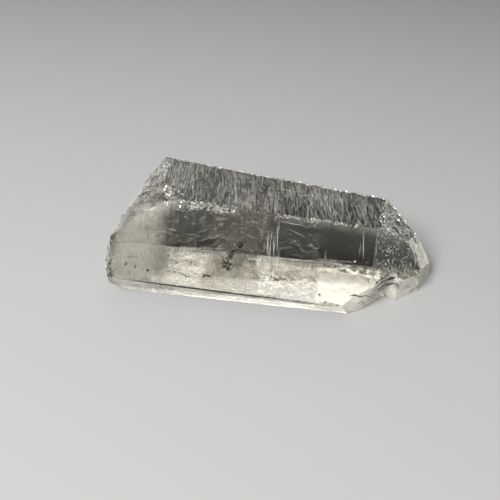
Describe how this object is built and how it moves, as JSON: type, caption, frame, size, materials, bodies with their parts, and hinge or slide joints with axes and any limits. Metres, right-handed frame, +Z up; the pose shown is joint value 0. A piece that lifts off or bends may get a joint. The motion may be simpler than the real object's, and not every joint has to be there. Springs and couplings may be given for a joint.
{
  "type": "lemurian quartz point",
  "caption": "Single clear quartz crystal lying on a prism face, with a six-sided ridged body, a steep faceted point, a broken base and a corner chip.",
  "frame": {"origin": "bottom centre of the crystal's bounding box, on the plane it rests on", "axes": "+X along the crystal towards its point, +Y away from the front, +Z up"},
  "size_m": [0.071, 0.0292, 0.0195],
  "materials": {
    "quartz": "clear rock crystal: glossy growth faces with fine cross lines, satin where etched, frosted on the break"
  },
  "bodies": {
    "root": {"quartz_crystal": "quartz"}
  },
  "joints": []
}
